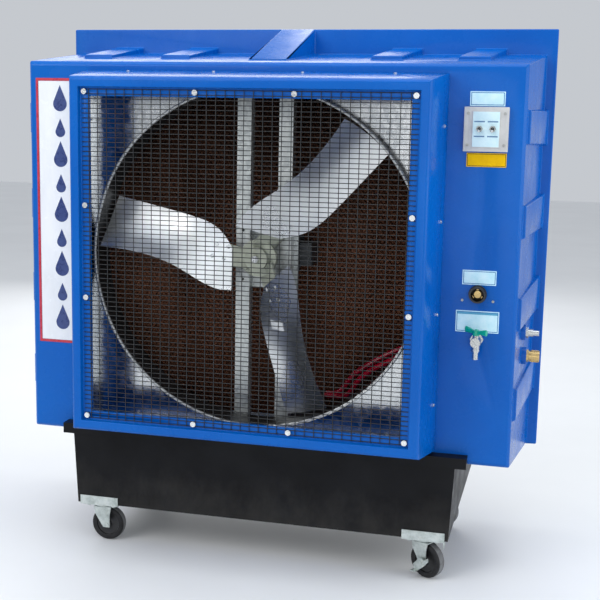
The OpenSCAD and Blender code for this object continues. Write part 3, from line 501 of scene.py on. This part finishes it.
def moulding(name, parts, body, width, look, small=0.012):
    """CAD nodes that are one moulding or pressing, joined into one piece with rounded edges."""
    first = whole(parts[0])
    others = [whole(n) for n in parts[1:]]
    for other in others:
        join = first.modifiers.new("join", "BOOLEAN")
        join.operation, join.solver, join.object = "UNION", "EXACT", other
    made = bpy.data.meshes.new_from_object(first.evaluated_get(bpy.context.evaluated_depsgraph_get()))
    for obj in [first, *others]:
        bpy.data.objects.remove(obj)
    bm = bmesh.new()
    bm.from_mesh(made)
    bmesh.ops.remove_doubles(bm, verts=bm.verts, dist=WELD)
    bmesh.ops.dissolve_limit(bm, angle_limit=math.radians(0.4), verts=bm.verts, edges=bm.edges)
    layer = bm.edges.layers.float.new("bevel_weight_edge")
    for e in bm.edges:
        if len(e.link_faces) == 2 and e.calc_face_angle(0) > math.radians(15):
            e[layer] = 1.0 if e.calc_length() > small else 0.12
    for f in bm.faces:
        f.smooth = True
        f.material_index = 0
    bm.to_mesh(made)
    bm.free()
    made.materials.clear()
    made.materials.append(look)
    obj = bpy.data.objects.new(name, made)
    bpy.context.scene.collection.objects.link(obj)
    bevel = obj.modifiers.new("bevel", "BEVEL")
    bevel.width, bevel.segments, bevel.limit_method = width, 3, "WEIGHT"
    bevel.use_clamp_overlap = False
    bevel.harden_normals = True
    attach(obj, body)
    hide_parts(*parts)


moulding("cabinet_moulding", ["cabinet", "rear_flange"], "housing", 0.0042, looks["blue_shell"])
moulding("shroud_moulding", ["fan_shroud"], "housing", 0.0022, looks["blue_shell"])
moulding("switch_box", ["control_box"], "housing", 0.002, looks["grey_enclosure"])
moulding("switch_cover", ["control_cover"], "housing", 0.0009, cover_coat(), 0.006)
moulding("hub_casting", ["fan_hub"], "rotor", 0.0024, looks["hub_cast"], 0.008)


# ------------------------------------------------------------------ pieces
def piece(name, verts, faces, body, materials, picks=None):
    """A mesh in the row frame that rides on a body; picks gives each face's material."""
    mesh = bpy.data.meshes.new(name)
    mesh.from_pydata([tuple(v) for v in verts], [], faces)
    for m in materials:
        mesh.materials.append(m)
    for i, p in enumerate(mesh.polygons):
        p.use_smooth = True
        if picks:
            p.material_index = picks[i]
    mesh.update()
    obj = bpy.data.objects.new(name, mesh)
    bpy.context.scene.collection.objects.link(obj)
    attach(obj, body)
    return obj


def pad_look(name):
    """One pad: corrugated sheets on edge, their waves crossing, around a dark core."""
    lo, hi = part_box(name)
    rng = random.Random(name)
    sheets, period, step, deep = 44, 0.020, 0.004, 0.010
    pitch = (hi.x - lo.x) / sheets
    rows = int((hi.z - lo.z) / step)
    verts, faces = [], []
    for y0, way in ((lo.y, 1), (hi.y, -1)):
        for k in range(sheets):
            x = lo.x + (k + 0.5) * pitch
            start = rng.uniform(-0.25, 0.25)
            lean = 2.4 if k % 2 else -1.1
            base = len(verts)
            for j in range(rows + 1):
                z = lo.z + (hi.z - lo.z) * j / rows
                for c in range(3):
                    turn = 2 * math.pi * z / period + start + lean * way * c / 2 + (math.pi if k % 2 else 0)
                    verts.append((x + 0.47 * pitch * math.sin(turn), y0 + way * deep * c / 2, z))
            for j in range(rows):
                for c in range(2):
                    a = base + 3 * j + c
                    faces.append((a, a + 1, a + 4, a + 3))
    n = len(verts)
    y0, y1, g = lo.y + deep - 0.001, hi.y - deep + 0.001, 0.001
    verts += [(x, y, z) for z in (lo.z, hi.z) for y in (y0, y1) for x in (lo.x + g, hi.x - g)]
    faces += [tuple(n + i for i in f) for f in (
        (0, 2, 3, 1), (4, 5, 7, 6), (0, 1, 5, 4), (2, 6, 7, 3), (0, 4, 6, 2), (1, 3, 7, 5))]
    obj = piece(name + "_sheets", verts, faces, "housing", [looks["cooling_pad"]])
    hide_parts(name)


def lathe(profile, centre, axis, turns=96):
    """Vertices and faces of an open profile of (radius, place along the axis) turned about it."""
    axis = axis.normalized()
    side = axis.cross(Vector((0, 0, 1))).normalized()
    other = axis.cross(side)
    verts = []
    for i in range(turns):
        a = 2 * math.pi * i / turns
        out = side * math.cos(a) + other * math.sin(a)
        verts += [centre + out * r + axis * h for r, h in profile]
    n = len(profile)
    faces = [(i * n + j, i * n + j + 1, (i + 1) % turns * n + j + 1, (i + 1) % turns * n + j)
             for i in range(turns) for j in range(n - 1)]
    return verts, faces


def wheel_look(tag, joint):
    """Caster wheel: a moulded core with its hub and web, and a rounded tyre with a worn tread."""
    centre, axis = Vector(joint["pos_m"]), Vector(joint["axis"])
    tyre = [(0.0362, -0.0135), (0.0400, -0.0146), (0.0440, -0.0148), (0.0466, -0.0138), (0.0484, -0.0118),
            (0.0494, -0.0092), (0.04985, -0.0060), (0.0500, -0.0025), (0.0500, 0.0025), (0.04985, 0.0060),
            (0.0494, 0.0092), (0.0484, 0.0118), (0.0466, 0.0138), (0.0440, 0.0148), (0.0400, 0.0146),
            (0.0362, 0.0135)]
    core = [(0.0052, -0.0188), (0.0120, -0.0190), (0.0130, -0.0182), (0.0132, -0.0112), (0.0150, -0.0094),
            (0.0200, -0.0088), (0.0310, -0.0082), (0.0332, -0.0092), (0.0345, -0.0128), (0.0361, -0.0132)]
    core = core + [(r, -h) for r, h in reversed(core)]
    v1, f1 = lathe(tyre, centre, axis)
    v2, f2 = lathe(core, centre, axis)
    across = len(tyre) - 1
    tread = range(5, 10)  # the bands of the tyre's profile that touch the floor
    picks = [1 if i % across in tread else 0 for i in range(len(f1))] + [2] * len(f2)
    faces = f1 + [tuple(i + len(v1) for i in f) for f in f2]
    obj = piece("caster_wheel_" + tag, v1 + v2, faces, "roller_" + tag,
                [looks["tyre"], TREAD, HUB_PLASTIC], picks)
    split = obj.modifiers.new("split", "EDGE_SPLIT")
    split.split_angle = math.radians(40)
    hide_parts("wheel_" + tag)


def spline(points, per):
    """Points of a smooth curve through the given ones."""
    p = [Vector(q) * 0.001 for q in points]
    out = []
    for i in range(len(p) - 1):
        a, b, c, d = p[max(i - 1, 0)], p[i], p[i + 1], p[min(i + 2, len(p) - 1)]
        for k in range(per):
            t = k / per
            out.append(0.5 * (2 * b + (c - a) * t + (2 * a - 5 * b + 4 * c - d) * t * t
                              + (3 * b - a - 3 * c + d) * t ** 3))
    return out + [p[-1]]


def hose_look(name, points, radius):
    """A smooth round hose along the route that its CAD solid follows."""
    q = spline(points, 8)
    around, verts, faces = 20, [], []
    side = Vector((0, 1, 0.1))
    for i, at in enumerate(q):
        along = (q[min(i + 1, len(q) - 1)] - q[max(i - 1, 0)]).normalized()
        side = (side - along * side.dot(along)).normalized()
        up = along.cross(side)
        for j in range(around):
            a = 2 * math.pi * j / around
            verts.append(at + (side * math.cos(a) + up * math.sin(a)) * radius)
    for i in range(len(q) - 1):
        for j in range(around):
            k = (j + 1) % around
            faces.append((i * around + j, (i + 1) * around + j, (i + 1) * around + k, i * around + k))
    faces.append(tuple(range(around)))
    faces.append(tuple(range(len(verts) - 1, len(verts) - around - 1, -1)))
    obj = piece(name + "_tube", verts, faces, "housing", [looks["red_hose"]])
    split = obj.modifiers.new("split", "EDGE_SPLIT")
    split.split_angle = math.radians(50)
    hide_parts(name)


def blade_tag():
    """The small white tag on the lower blade, blank and a little curled at one corner."""
    bm = bmesh.new()
    bm.from_mesh(nodes["blade_3"].data)
    skin = BVHTree.FromBMesh(bm)
    bm.free()
    across, down = 8, 6
    verts, faces = [], []
    for j in range(down + 1):
        for i in range(across + 1):
            u, v = i / across - 0.5, j / down - 0.5
            x = TAG[0] + 0.040 * u - 0.004 * v
            z = TAG[1] + 0.026 * v - 0.004 * u
            hit = skin.ray_cast(Vector((x, -0.4, z)), Vector((0, 1, 0)))[0]
            lift = 0.0005 + 0.004 * max(0.0, u - 0.3) * (0.5 + v)
            verts.append((x, (hit.y if hit else -0.154) - lift, z))
    for j in range(down):
        for i in range(across):
            a = j * (across + 1) + i
            faces.append((a, a + 1, a + across + 2, a + across + 1))
    obj = piece("blade_tag", verts, faces, "rotor", [looks["sign_white"]])


for k in range(1, 5):
    pad_look(f"pad_{k}")
blade_tag()
for joint in frame["joints"]:
    if joint["name"].startswith("wheel_spin_"):
        wheel_look(joint["name"][-2:], joint)
hose_look("hose_drain", [
    (142, 58, 438), (152, 58, 438), (164, 58, 438), (188, 57, 438), (210, 56, 445),
    (226, 55, 463), (240, 54, 486), (260, 53, 508), (288, 51, 530), (335, 45, 558),
    (420, 26, 604), (500, -6, 646), (564, -52, 676), (598, -88, 681), (598, -98, 681),
    (598, -108, 681)], HOSE_RADIUS)
hose_look("hose_supply", [
    (142, 82, 438), (150, 82, 438), (158, 82, 438), (177, 83, 443), (193, 84, 458),
    (208, 85, 480), (226, 87, 502), (250, 90, 522), (282, 95, 543), (330, 102, 571),
    (400, 108, 606), (500, 118, 668), (600, 126, 760), (650, 136, 900), (660, 148, 1100),
    (654, 150, 1240), (646, 148, 1340), (641, 164, 1394), (640, 192, 1404),
    (640, 203, 1404), (640, 214, 1404)], HOSE_RADIUS)


# ------------------------------------------------------------------ floor
def make_floor():
    """A pale studio floor that runs far past the view."""
    bm = bmesh.new()
    bmesh.ops.create_grid(bm, x_segments=24, y_segments=24, size=16)
    mesh = bpy.data.meshes.new("floor")
    bm.to_mesh(mesh)
    bm.free()
    mesh.materials.append(floor_look())
    obj = bpy.data.objects.new("floor", mesh)
    bpy.context.scene.collection.objects.link(obj)


make_floor()
